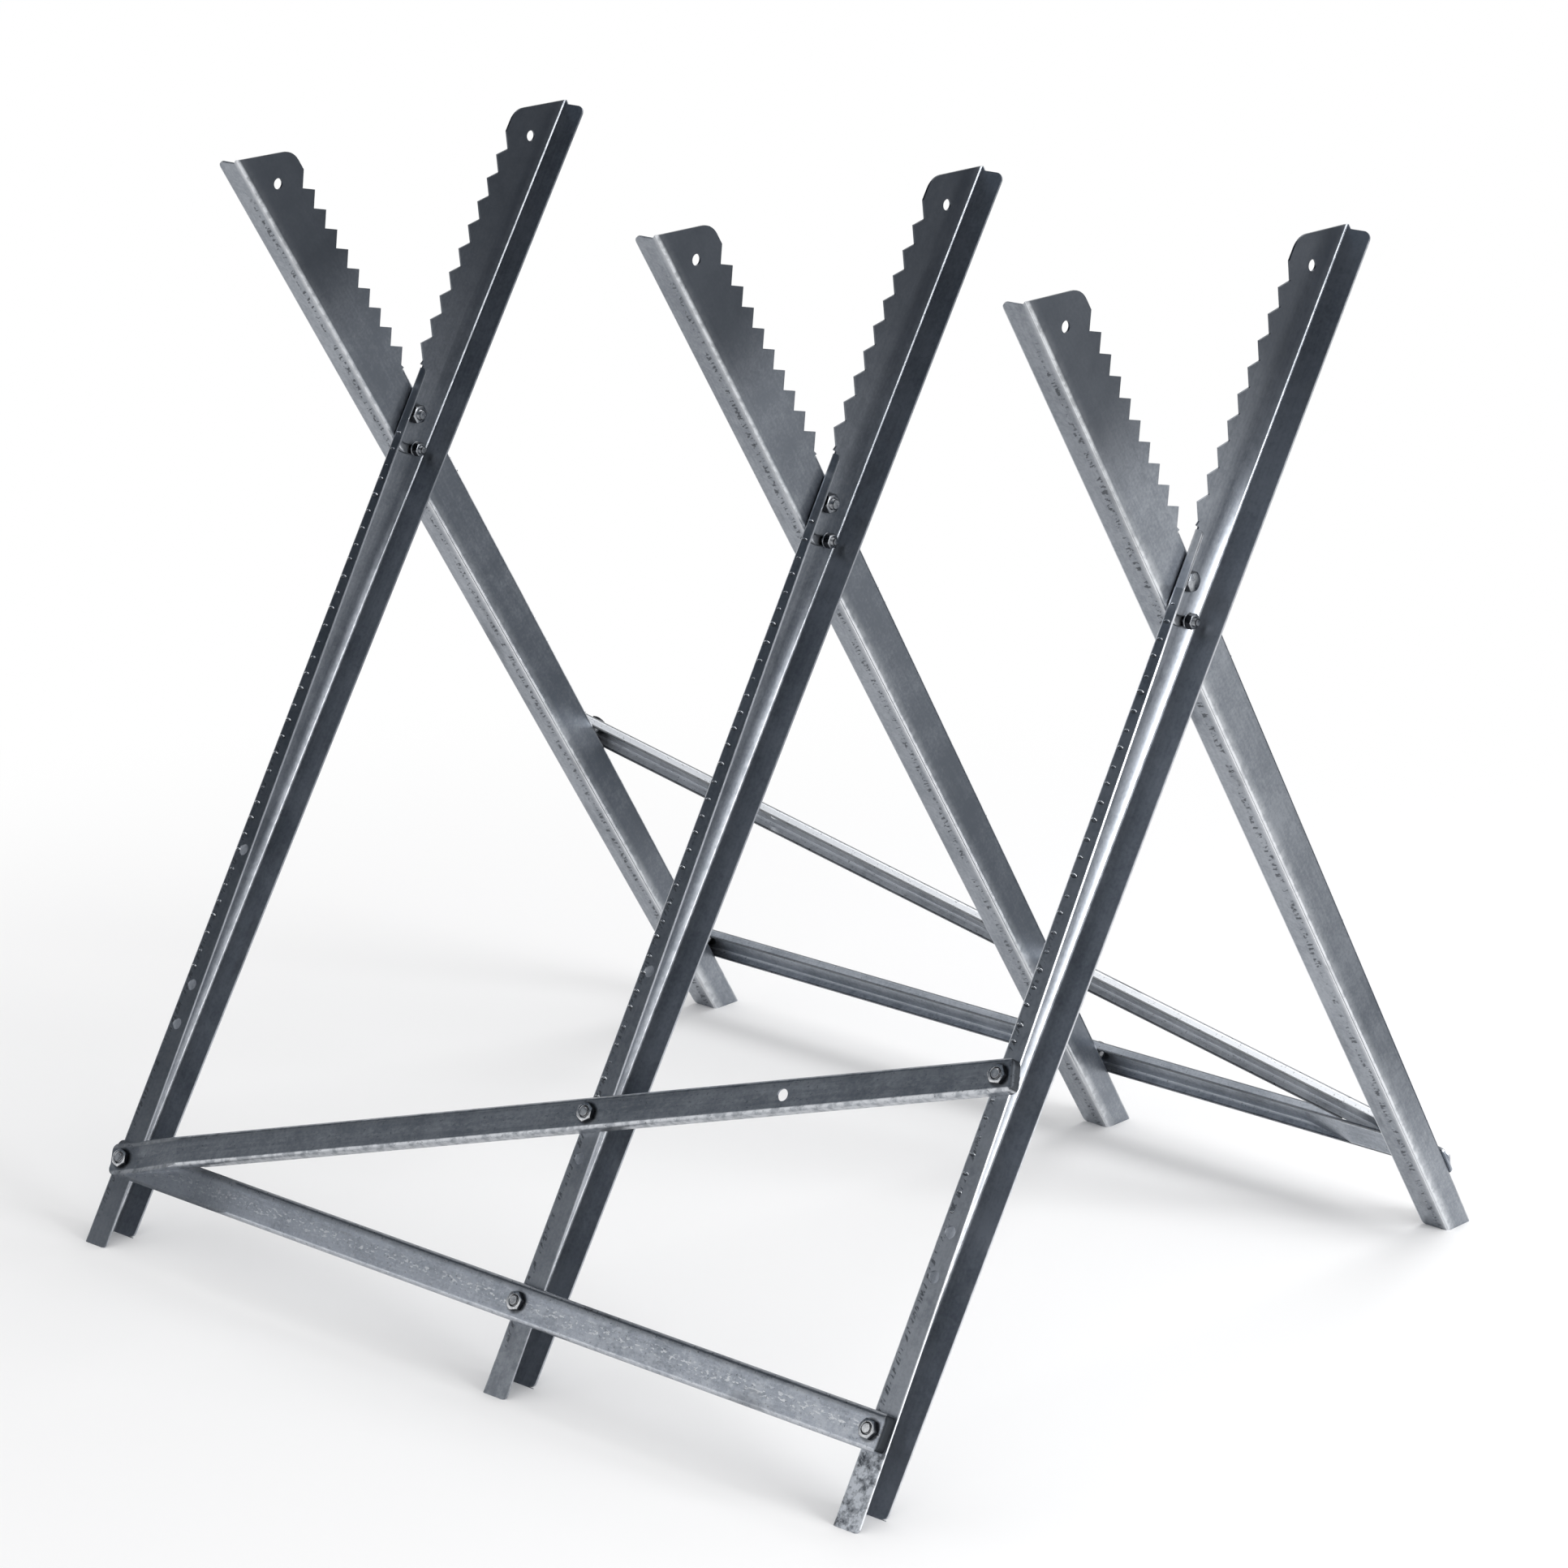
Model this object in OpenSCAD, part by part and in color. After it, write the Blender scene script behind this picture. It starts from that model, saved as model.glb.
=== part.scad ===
// Folding saw stand: three trestles of toothed channel legs, crossed on pivot bolts and tied by braces.
// X runs along the stand, Y from the front to the back, Z up. The origin is on the floor under the middle.

/* [Stand] */
// Distance from the left trestle to the middle trestle
left_bay = 428; // [300:1:520]
// Distance from the middle trestle to the right trestle
right_bay = 332; // [250:1:450]
// Height of the pivot bolts above the floor
pivot_height = 578; // [540:1:640]
// Lean of every leg from the upright, with the stand open
lean = 32.5; // [28:0.5:36]
// Angle left between the legs when the stand is folded
fold_rest = 5; // [4.5:0.5:8]

/* [Leg sheet] */
// Thickness of the leg sheet
leg_t = 1.5; // [1.2:0.1:2.2]
// Inside radius of the leg folds
fold_r = 1.5; // [1:0.1:2]
// Width of the web at the pivot, over both flanges
web_w = 39.3; // [37:0.1:44]
// Slant of the tooth-side fold, which narrows the web and widens its flange towards the foot
fold_slant = 1.2; // [0.8:0.1:1.3]
// Depth of the tooth-side flange at the pivot
tooth_flange = 9.2; // [8.5:0.1:11]
// Depth of the back flange
back_flange = 24; // [18:0.5:30]
// Distance from the pivot to the outer face of the tooth-side flange
pivot_inset = 12.3; // [11:0.1:14]
// Gap between the two crossing webs
web_gap = 0.4; // [0.2:0.1:1]
// Radius of the free flange corners at the leg ends
flange_corner = 4; // [2:0.5:5]
// Drop from the head's top edge to the top of the back flange
head_drop = 4; // [2:0.5:6]
// Radius of the back flange's corner at the head
head_flange_corner = 6.5; // [3:0.5:8]

/* [Toothed head] */
// Height of the head's top edge above the pivot
head_rise = 221.5; // [215:0.5:260]
// Distance from the pivot to the lowest tooth root, along the leg
first_root = 39.5; // [36:0.5:56]
// Number of whole teeth
tooth_count = 9; // [5:1:9]
// Pitch of the teeth along the leg
tooth_pitch = 20; // [16:0.5:20]
// Part of the pitch from a root up to its tip
tooth_reach = 11; // [6:0.5:14]
// Depth of a tooth
tooth_depth = 9; // [5:0.5:12]
// Width of the head, from the back flange to the tooth tips
head_w = 48; // [45:0.5:52]
// Height of the relief notch between the tooth-side flange and the teeth
relief_h = 2.5; // [2:0.5:5]
// Height from the relief notch to the lowest tooth root
land_h = 3.5; // [2:0.5:5]
// Radius of the head's inner top corner
head_corner = 17; // [8:1:24]
// Diameter of the hole in the head
head_hole_d = 8.4; // [6:0.1:12]
// Distance from the pivot to the head hole, along the leg
head_hole_reach = 238.5; // [225:0.5:250]
// Distance from the back flange's outer face to the head hole
head_hole_inset = 22; // [15:0.5:26]

/* [Pivot bolts] */
// Diameter of the pivot and brace bolts
bolt_d = 8; // [6:0.5:8]
// Radial running clearance of the pivot bolts
pivot_clear = 0.08; // [0.03:0.01:0.1]
// Width across the flats of the pivot and brace hexagons
bolt_af = 13; // [10:0.5:13]
// Height of the pivot and brace bolt heads
bolt_head_h = 5.3; // [4:0.1:6]
// Height of the pivot nuts
bolt_nut_h = 6.5; // [5:0.1:8]
// Bolt end that stands out of a pivot or stop nut
bolt_proud = 3; // [1:0.5:6]
// Radial clearance between a nut and its bolt
nut_clear = 0.05; // [0.02:0.01:0.1]
// End play of the bolts that legs turn on
end_play = 0.1; // [0.05:0.05:0.3]

/* [Stop bolts] */
// Distance from the pivot to the stop bolt
stop_reach = 28; // [26:0.5:32]
// Diameter of the stop bolts
stop_d = 6; // [5:0.5:6]
// Clearance of the stop bolts in their slots
slot_clear = 0.3; // [0.2:0.05:0.5]
// Width across the flats of the stop hexagons
stop_af = 10; // [8:0.5:10]
// Height of the stop bolt heads
stop_head_h = 4; // [3:0.1:5]
// Height of the stop nuts
stop_nut_h = 5; // [4:0.1:7]
// Outside diameter of the stop washers
washer_d = 11.5; // [10:0.1:11.5]
// Thickness of the stop washers
washer_t = 1.2; // [0.8:0.1:1.6]

/* [Braces] */
// Thickness of the brace sheet
brace_t = 1.5; // [1.2:0.1:2]
// Width of a diagonal brace
diagonal_w = 24; // [20:0.5:28]
// Width of a low brace
low_w = 27.5; // [22:0.5:30]
// Depth of a brace, from its seat to its face
brace_d = 9; // [6:0.5:14]
// Outside radius of the brace folds
brace_fold = 3.2; // [1.8:0.1:3.4]
// Length of a brace past its last bolt
brace_end = 11; // [10:0.5:16]
// Corner radius of the brace ends
brace_corner = 5; // [3:0.5:8]
// Length of the ramp from a flattened end up to the channel
brace_ramp = 45; // [30:1:70]
// Distance from the web's back face to the brace bolts
brace_inset = 9.6; // [9.5:0.1:10.5]
// Distance from the foot up the leg to the lower brace holes
low_rise = 68; // [50:1:90]
// Distance from the lower brace holes up the leg to the highest ones
brace_rise = 252; // [200:1:270]
// Clearance of the brace bolts in their holes
hole_clear = 0.5; // [0.2:0.1:0.8]
// Height of the thin nuts on the braces
brace_nut_h = 4; // [3:0.1:6.5]
// Bolt end that stands out of a brace nut
brace_proud = 0.8; // [0.2:0.1:4]
// Spare hole in a diagonal brace, from its flattened end's bolt along the stand
spare_hole = 590; // [480:5:700]

/* [Hidden] */
$fn = 64;
eps = 0.5;
stand_l = left_bay + right_bay;
left_x = -stand_l / 2;
middle_x = left_x + left_bay;
right_x = stand_l / 2;
trestle_x = [left_x, middle_x, right_x];
web_back = web_gap / 2;
web_front = web_back + leg_t;
fold_out = fold_r + leg_t;
back_y = web_w - pivot_inset;
tooth_side = -pivot_inset;
back_tangent = back_y - fold_out;
tip_y = back_y - head_w;
root_y = tip_y + tooth_depth;
head_start = first_root - land_h;
flange_top = head_start - relief_h;
// Place along the leg of the height z on the line that runs y beside the pivot
function along(z, y) = (z + y * sin(lean)) / cos(lean);
leg_top = along(head_rise, back_y);
// Place along the tooth-side fold of the height z
function along_fold(z) = (z - pivot_inset * sin(lean)) / cos(lean - fold_slant);
leg_foot = along_fold(-pivot_height);
// Outer face of the tooth-side fold, and where the web meets its bend, at z along the leg
function fold_y(z) = tooth_side - z * tan(fold_slant);
function web_edge(z) = fold_y(z) + fold_out / cos(fold_slant);
// Depth of the tooth-side flange at z along its fold
function flange_depth(z) = tooth_flange - z * tan(fold_slant);
corner_up = head_rise - head_corner;
corner_y = tip_y + head_corner;
corner_z = along(corner_up, corner_y);
slot_w = stop_d + 2 * slot_clear;
fold_travel = 2 * lean - fold_rest;
slot_end = lean - fold_travel / 2;
low_hole = -leg_foot - low_rise;
diagonal = atan2(brace_rise, stand_l);
brace_holes = [for (x = [0, left_bay, right_bay, stand_l]) low_hole - x * tan(diagonal)];
brace_x = web_back + brace_inset;
overlap = (low_w + diagonal_w / cos(diagonal)) / 2 / tan(diagonal);
overlap_room = overlap + 4;
stack_h = 2 * brace_t;
washer_out = web_front + end_play + washer_t;

// Colours of the sheet, the braces and the hardware
leg_colour = "slategray";
brace_colour = "lightslategray";
bolt_colour = "silver";

// Extrudes a sketch drawn in Y and Z along X, from the given place
module along_x(from, length) {
    translate([from, 0, 0]) rotate([90, 0, 90]) linear_extrude(length) children();
}

// Extrudes a sketch drawn in X and Z towards the front, from the given place
module towards_front(from, length) {
    translate([0, from, 0]) rotate([90, 0, 0]) linear_extrude(length) children();
}

// What a rounded corner takes off, with the corner at [r, r]
module corner_waste(r) {
    difference() {
        square(r + eps);
        circle(r);
    }
}

// Quarter of a folded sheet, round [0, 0], towards -X and +Y, with a short tail into the web
module fold_quarter() {
    translate([-fold_out, -leg_t]) square(leg_t);
    intersection() {
        difference() {
            circle(fold_out);
            circle(fold_r);
        }
        translate([-fold_out, 0]) square(fold_out);
    }
}

// Back fold and back flange, cut across the leg
module back_angle() {
    translate([web_back + fold_out, back_tangent]) fold_quarter();
    translate([web_back + fold_out, back_y - leg_t]) square([back_flange - fold_out, leg_t]);
}

// Puts Z along the slanted fold and Y = 0 on the outer face of the tooth-side flange
module on_fold() {
    translate([0, tooth_side, 0]) rotate([fold_slant, 0, 0]) children();
}

// Tooth-side fold and its flange, whose free edge keeps the line of the head
module tooth_angle(from, to) {
    bend = web_back + fold_out;
    on_fold() {
        translate([bend, fold_out, from]) linear_extrude(to - from) mirror([0, 1]) fold_quarter();
        towards_front(leg_t, leg_t) polygon([
            [bend, from], [web_back + flange_depth(from), from],
            [web_back + flange_depth(to), to], [bend, to]
        ]);
    }
}

// Waste at the inner top corner of the head, between the tip line and the level top edge
module head_corner_waste() {
    difference() {
        polygon([
            [tip_y - eps, corner_z],
            [tip_y - eps, along(head_rise + eps, tip_y)],
            [corner_y - head_corner * sin(lean), along(head_rise + eps, corner_y - head_corner * sin(lean))],
            [corner_y, corner_z]
        ]);
        translate([corner_y, corner_z]) circle(head_corner);
    }
}

// Web from the foot up, and the flat toothed head that carries on where the tooth-side flange ends
module web_outline(from) {
    teeth = [
        for (i = [0 : tooth_count])
            for (point = [[root_y, 0], [tip_y, tooth_reach]])
                [point[0], first_root + i * tooth_pitch + point[1]]
    ];
    difference() {
        polygon(concat(
            [[back_tangent, from], [web_edge(from), from]],
            [[web_edge(head_start), head_start], [fold_y(head_start), head_start]],
            teeth,
            [[tip_y, along(head_rise, tip_y)], [back_tangent, along(head_rise, back_tangent)]]
        ));
        head_corner_waste();
    }
}

// Curved slot for the stop bolt, round the pivot
module stop_slot() {
    wedge = 2 * stop_reach;
    difference() {
        intersection() {
            circle(stop_reach + slot_w / 2);
            polygon([
                [0, 0],
                [wedge * sin(slot_end), -wedge * cos(slot_end)],
                [wedge * sin(lean), -wedge * cos(lean)]
            ]);
        }
        circle(stop_reach - slot_w / 2);
    }
    for (turn = [slot_end, lean])
        translate([stop_reach * sin(turn), -stop_reach * cos(turn)]) circle(slot_w / 2);
}

// Rounds a flange's free corner at a leg end: way is 1 at the top and -1 at the foot
module flange_corner_waste(face, depth, end, way) {
    towards_front(face + leg_t + eps, leg_t + 2 * eps)
        translate([web_back + depth - flange_corner, end - way * flange_corner])
            mirror([0, way < 0 ? 1 : 0]) corner_waste(flange_corner);
}

// Waste over the back flange at the head: a ramp down the fold, a lower top edge and a round corner
module head_flange_waste() {
    top = leg_top - head_drop;
    free = web_back + back_flange;
    towards_front(back_y + eps, fold_out + 2 * eps) {
        polygon([
            [web_front, leg_top], [web_front + head_drop, top], [free + eps, top],
            [free + eps, leg_top + eps], [web_front, leg_top + eps]
        ]);
        translate([free - head_flange_corner, top - head_flange_corner]) corner_waste(head_flange_corner);
    }
}

// Everything beyond a level plane over the pivot, seen from the leaning leg: way is 1 above it and -1 below
module beyond(height, way) {
    reach = 4 * web_w;
    rotate([lean, 0, 0]) translate([0, 0, height + way * reach / 2])
        cube([reach, 2 * pivot_height, reach], center = true);
}

// One leg, upright on its pivot at the origin, with its channel open towards +X
module leg() {
    below = leg_foot - 2 * leg_t;
    color(leg_colour) difference() {
        union() {
            translate([0, 0, below]) linear_extrude(leg_top - below) back_angle();
            tooth_angle(below, flange_top);
            along_x(web_back, leg_t) web_outline(below);
        }
        beyond(head_rise, 1);
        beyond(-pivot_height, -1);
        along_x(web_back - eps, leg_t + 2 * eps) {
            circle(bolt_d / 2 + pivot_clear);
            stop_slot();
            translate([back_y - head_hole_inset, head_hole_reach]) circle(head_hole_d / 2);
        }
        on_fold() {
            for (hole = brace_holes)
                towards_front(leg_t + eps, leg_t + 2 * eps)
                    translate([brace_x, -hole]) circle(bolt_d / 2 + hole_clear);
            flange_corner_waste(0, flange_depth(leg_foot), leg_foot, -1);
            flange_corner_waste(0, flange_depth(flange_top), flange_top, 1);
        }
        flange_corner_waste(back_y - leg_t, back_flange, along(-pivot_height, back_y), -1);
        head_flange_waste();
    }
}

// Turns what is drawn for the front round the upright axis to the rear
module to_rear() {
    rotate([0, 0, 180]) children();
}

module front_leg(x) {
    translate([x, 0, pivot_height]) rotate([-lean, 0, 0]) leg();
}

module rear_leg(x) {
    translate([x, 0, pivot_height]) to_rear() rotate([-lean, 0, 0]) leg();
}

// Puts X, the way up the leg and the height over the tooth-side flange where the front braces sit
module front_seat() {
    translate([0, 0, pivot_height]) rotate([-lean, 0, 0]) on_fold() rotate([90, 0, 0])
        translate([left_x + brace_x, -low_hole, 0]) children();
}

// Rounded outer section of a brace, in Y and Z
module brace_section(w) {
    square_h = brace_d - brace_fold;
    translate([-w / 2, 0]) square([w, square_h]);
    translate([brace_fold - w / 2, 0]) square([w - 2 * brace_fold, brace_d]);
    for (side = [-1, 1])
        translate([side * (w / 2 - brace_fold), square_h]) circle(brace_fold);
}

// Rounded outer side view of a brace, in X and Z: its free end folds down like its sides
module brace_profile(reach) {
    square_h = brace_d - brace_fold;
    translate([-brace_end, 0]) square([brace_end + reach, square_h]);
    translate([-brace_end, 0]) square([brace_end + reach - brace_fold, brace_d]);
    translate([reach - brace_fold, square_h]) circle(brace_fold);
}

// Plan of a brace with round corners, in X and Y
module brace_plan(w, from, to, r) {
    translate([from + r, -w / 2]) square([to - from - 2 * r, w]);
    translate([from, r - w / 2]) square([to - from, w - 2 * r]);
    for (x = [from + r, to - r]) for (side = [-1, 1])
        translate([x, side * (w / 2 - r)]) circle(r);
}

// Wall round the free end of a brace, in X and Y
module brace_end_wall(w, reach) {
    difference() {
        brace_plan(w, reach - 3 * brace_corner, reach, brace_corner);
        brace_plan(w - 2 * brace_t, reach - 4 * brace_corner, reach - brace_t, brace_corner - brace_t);
    }
}

// Side view of a brace's face sheet: flat end, ramp and channel
module brace_face_side(flat, reach, lift) {
    low = lift + brace_t;
    polygon([
        [-brace_end, low], [flat, low], [flat + brace_ramp, brace_d], [reach, brace_d],
        [reach, brace_d - brace_t], [flat + brace_ramp, brace_d - brace_t], [flat, lift], [-brace_end, lift]
    ]);
}

// Side view of a brace's flanges: they rise with the ramp and stand on the legs beyond seat
module brace_flange_side(flat, reach, lift, seat) {
    under = brace_d - brace_t / 2;
    polygon([
        [flat, lift + brace_t / 2], [flat + brace_ramp, under], [reach, under],
        [reach, 0], [seat, 0], [seat, lift], [flat, lift]
    ]);
}

// One brace, flattened at the end whose bolt is at the origin, closed at the other, seated on Z = 0
module brace(w, flat, last, lift, seat, holes) {
    reach = last + brace_end;
    color(brace_colour) difference() {
        intersection() {
            along_x(-brace_end, brace_end + reach) brace_section(w);
            towards_front(w / 2, w) brace_profile(reach);
            linear_extrude(brace_d) brace_plan(w, -brace_end, reach, brace_corner);
            union() {
                towards_front(w / 2, w) brace_face_side(flat, reach, lift);
                for (y = [w / 2, brace_t - w / 2])
                    towards_front(y, brace_t) brace_flange_side(flat, reach, lift, seat);
                linear_extrude(brace_d - brace_t / 2) brace_end_wall(w, reach);
            }
        }
        for (x = holes)
            translate([x, 0, -eps]) cylinder(d = bolt_d + 2 * hole_clear, h = brace_d + 2 * eps);
    }
}

// Diagonal brace over the flattened end of the low one, for a trestle that stands bay from that end
module diagonal_brace(bay) {
    front_seat() rotate([0, 0, diagonal])
        brace(diagonal_w, brace_end + brace_corner, stand_l / cos(diagonal), brace_t, overlap_room,
            [for (x = [0, bay, spare_hole, stand_l]) x / cos(diagonal)]);
}

module low_brace(bay) {
    front_seat() brace(low_w, overlap_room, stand_l, 0, overlap_room, [0, bay, stand_l]);
}

// Hexagon with flats towards +X and -X
module hexagon(flats, h) {
    rotate([0, 0, 30]) cylinder(d = flats / cos(30), h = h, $fn = 6);
}

module hex_nut(flats, h, bore) {
    color(bolt_colour) difference() {
        hexagon(flats, h);
        translate([0, 0, -eps]) cylinder(d = bore, h = h + 2 * eps);
    }
}

// Bolt with its head below Z = 0 and its shank along +Z
module hex_bolt(d, flats, head_h, shank) {
    color(bolt_colour) union() {
        translate([0, 0, -head_h]) hexagon(flats, head_h);
        translate([0, 0, -head_h / 2]) cylinder(d = d, h = shank + head_h / 2);
    }
}

// Stands Z on end along X at a trestle's pivot: way is 1 for a bolt that points to +X
module on_pivot(x, way) {
    translate([x, 0, pivot_height]) rotate([0, way * 90, 0]) children();
}

// The pivot bolts clamp to the rear legs; the front legs turn on them with end play
function head_side(way) = way > 0 ? web_front : web_front + end_play;
function nut_side(way) = way > 0 ? web_front + end_play : web_front;

module pivot_bolt(x, way) {
    shank = head_side(way) + nut_side(way) + bolt_nut_h + bolt_proud;
    on_pivot(x, way) translate([0, 0, -head_side(way)]) hex_bolt(bolt_d, bolt_af, bolt_head_h, shank);
}

module pivot_nut(x, way) {
    on_pivot(x, way) translate([0, 0, nut_side(way)]) hex_nut(bolt_af, bolt_nut_h, bolt_d + 2 * nut_clear);
}

// Place of a trestle's stop bolt, straight below its pivot with the stand open
module on_stop(x) {
    translate([x, 0, pivot_height - stop_reach]) rotate([0, 90, 0]) children();
}

module stop_bolt(x) {
    shank = 2 * washer_out + stop_nut_h + bolt_proud;
    on_stop(x) translate([0, 0, -washer_out]) hex_bolt(stop_d, stop_af, stop_head_h, shank);
}

module stop_nut(x) {
    on_stop(x) translate([0, 0, washer_out]) hex_nut(stop_af, stop_nut_h, stop_d + 2 * nut_clear);
}

module stop_washers() {
    color(bolt_colour) for (x = trestle_x)
        on_stop(x) for (from = [-washer_out, washer_out - washer_t])
            translate([0, 0, from]) difference() {
                cylinder(d = washer_d, h = washer_t);
                translate([0, 0, -eps]) cylinder(d = stop_d + 2 * nut_clear, h = washer_t + 2 * eps);
            }
}

// Places of a side's brace bolts, with the height of what each one clamps
function bolt_places(bay) = [
    [0, 0, stack_h],
    [bay, 0, brace_d],
    [stand_l, 0, brace_d],
    [bay, bay * tan(diagonal), brace_d],
    [stand_l, stand_l * tan(diagonal), brace_d]
];

module brace_bolts(bay) {
    front_seat() for (place = bolt_places(bay))
        translate([place[0], place[1], -leg_t])
            hex_bolt(bolt_d, bolt_af, bolt_head_h, leg_t + place[2] + brace_nut_h + brace_proud);
}

module brace_nuts(bay) {
    front_seat() for (place = bolt_places(bay))
        translate(place) hex_nut(bolt_af, brace_nut_h, bolt_d + 2 * nut_clear);
}

module front_leg_left() { front_leg(left_x); }
module front_leg_middle() { front_leg(middle_x); }
module front_leg_right() { front_leg(right_x); }
module rear_leg_left() { rear_leg(left_x); }
module rear_leg_middle() { rear_leg(middle_x); }
module rear_leg_right() { rear_leg(right_x); }
module front_diagonal_brace() { diagonal_brace(left_bay); }
module front_low_brace() { low_brace(left_bay); }
module rear_diagonal_brace() { to_rear() diagonal_brace(right_bay); }
module rear_low_brace() { to_rear() low_brace(right_bay); }
module pivot_bolt_left() { pivot_bolt(left_x, 1); }
module pivot_bolt_middle() { pivot_bolt(middle_x, 1); }
module pivot_bolt_right() { pivot_bolt(right_x, -1); }
module pivot_nut_left() { pivot_nut(left_x, 1); }
module pivot_nut_middle() { pivot_nut(middle_x, 1); }
module pivot_nut_right() { pivot_nut(right_x, -1); }
module stop_bolt_left() { stop_bolt(left_x); }
module stop_bolt_middle() { stop_bolt(middle_x); }
module stop_bolt_right() { stop_bolt(right_x); }
module stop_nut_left() { stop_nut(left_x); }
module stop_nut_middle() { stop_nut(middle_x); }
module stop_nut_right() { stop_nut(right_x); }
module front_brace_bolts() { brace_bolts(left_bay); }
module front_brace_nuts() { brace_nuts(left_bay); }
module rear_brace_bolts() { to_rear() brace_bolts(right_bay); }
module rear_brace_nuts() { to_rear() brace_nuts(right_bay); }

front_leg_left();
front_leg_middle();
front_leg_right();
rear_leg_left();
rear_leg_middle();
rear_leg_right();
front_diagonal_brace();
front_low_brace();
rear_diagonal_brace();
rear_low_brace();
pivot_bolt_left();
pivot_bolt_middle();
pivot_bolt_right();
pivot_nut_left();
pivot_nut_middle();
pivot_nut_right();
stop_bolt_left();
stop_bolt_middle();
stop_bolt_right();
stop_nut_left();
stop_nut_middle();
stop_nut_right();
stop_washers();
front_brace_bolts();
front_brace_nuts();
rear_brace_bolts();
rear_brace_nuts();
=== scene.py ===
import math

import bmesh
import bpy
from mathutils import Matrix, Vector


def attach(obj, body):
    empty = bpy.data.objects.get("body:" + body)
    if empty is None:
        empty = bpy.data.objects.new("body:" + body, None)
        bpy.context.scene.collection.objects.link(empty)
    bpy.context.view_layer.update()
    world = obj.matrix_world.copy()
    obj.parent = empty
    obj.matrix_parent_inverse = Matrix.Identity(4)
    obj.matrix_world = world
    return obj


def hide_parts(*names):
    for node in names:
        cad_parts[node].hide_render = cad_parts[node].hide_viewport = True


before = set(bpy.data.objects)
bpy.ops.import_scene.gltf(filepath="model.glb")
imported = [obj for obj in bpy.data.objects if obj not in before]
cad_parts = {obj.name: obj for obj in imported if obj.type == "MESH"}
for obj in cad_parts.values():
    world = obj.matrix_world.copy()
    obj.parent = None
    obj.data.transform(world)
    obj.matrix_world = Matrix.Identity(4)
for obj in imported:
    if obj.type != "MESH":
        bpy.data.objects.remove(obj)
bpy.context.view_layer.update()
scene = bpy.context.scene
mm = 0.001
print("stand loaded:", len(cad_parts), "nodes")

# sizes of the solids that the looks follow
stand = {
    "trestles": {"left": -0.380, "middle": 0.048, "right": 0.380},
    "pivotHeight": 0.578,
    "lean": math.radians(32.5),       # of the back fold
    "slant": math.radians(1.2),       # of the tooth-side fold against the back fold
    "pivotInset": 12.3 * mm,          # pivot to the tooth-side flange
    "webWidth": 39.3 * mm,            # at the pivot
    "backFlange": 24.0 * mm,
    "toothFlange": 9.2 * mm,          # at the pivot
    "webBack": 0.2 * mm,
    "sheet": 1.5 * mm,
    "lowRise": 68.0 * mm,
    "braceRise": 252.0 * mm,
    "braceX": 9.8 * mm,
    "braceDepth": 9.0 * mm,
    "diagonalWidth": 24.0 * mm,
    "lowWidth": 27.5 * mm,
    "leftBay": 428.0 * mm,
    "rightBay": 332.0 * mm,
    "stopReach": 28.0 * mm,
}
sinLean, cosLean = math.sin(stand["lean"]), math.cos(stand["lean"])
slantTan = math.tan(stand["slant"])
foldLean = stand["lean"] - stand["slant"]
standLength = stand["leftBay"] + stand["rightBay"]
legFoot = -(stand["pivotHeight"] + stand["pivotInset"] * sinLean) / math.cos(foldLean)
lowHole = legFoot + stand["lowRise"]
diagonal = math.atan2(stand["braceRise"], standLength)

pivotPlace = Matrix.Translation((0, 0, stand["pivotHeight"]))
legTurn = Matrix.Rotation(-stand["lean"], 4, "X")
foldPlace = Matrix.Translation((0, -stand["pivotInset"], 0)) @ Matrix.Rotation(stand["slant"], 4, "X")
frontFold = pivotPlace @ legTurn @ foldPlace                        # X across, Z up the tooth-side fold
frontSeat = frontFold @ Matrix.Rotation(math.pi / 2, 4, "X") @ Matrix.Translation(
    (stand["trestles"]["left"] + stand["braceX"], lowHole, 0))      # X along the stand, Y up the leg, Z outwards
frames = {                                                          # the rear frame is the front one turned round
    "front": {"side": 1, "bay": stand["leftBay"], "turn": Matrix.Identity(4)},
    "rear": {"side": -1, "bay": stand["rightBay"], "turn": Matrix.Rotation(math.pi, 4, "Z")},
}


class Wire:                                                         # a shader socket that takes part in sums
    def __init__(self, tree, socket):
        self.tree, self.socket = tree, socket

    def math(self, operation, *terms):
        node = self.tree.nodes.new("ShaderNodeMath")
        node.operation = operation
        for slot, term in zip(node.inputs, terms):
            plug(self.tree, slot, term)
        return Wire(self.tree, node.outputs[0])

    def __add__(self, other): return self.math("ADD", self, other)
    def __radd__(self, other): return self.math("ADD", other, self)
    def __sub__(self, other): return self.math("SUBTRACT", self, other)
    def __rsub__(self, other): return self.math("SUBTRACT", other, self)
    def __mul__(self, other): return self.math("MULTIPLY", self, other)
    def __rmul__(self, other): return self.math("MULTIPLY", other, self)
    def __truediv__(self, other): return self.math("DIVIDE", self, other)
    def __rtruediv__(self, other): return self.math("DIVIDE", other, self)
    def __neg__(self): return self.math("MULTIPLY", self, -1.0)
    def __abs__(self): return self.math("ABSOLUTE", self)
    def least(self, other): return self.math("MINIMUM", self, other)
    def most(self, other): return self.math("MAXIMUM", self, other)
    def root(self): return self.math("SQRT", self)
    def angle(self, other): return self.math("ARCTAN2", self, other)


def plug(tree, slot, value):
    if isinstance(value, Wire):
        tree.links.new(value.socket, slot)
    else:
        slot.default_value = value


mixSockets = {"factor": 0, "first": 6, "second": 7, "result": 2}    # of a colour mix, whose socket names repeat


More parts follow.
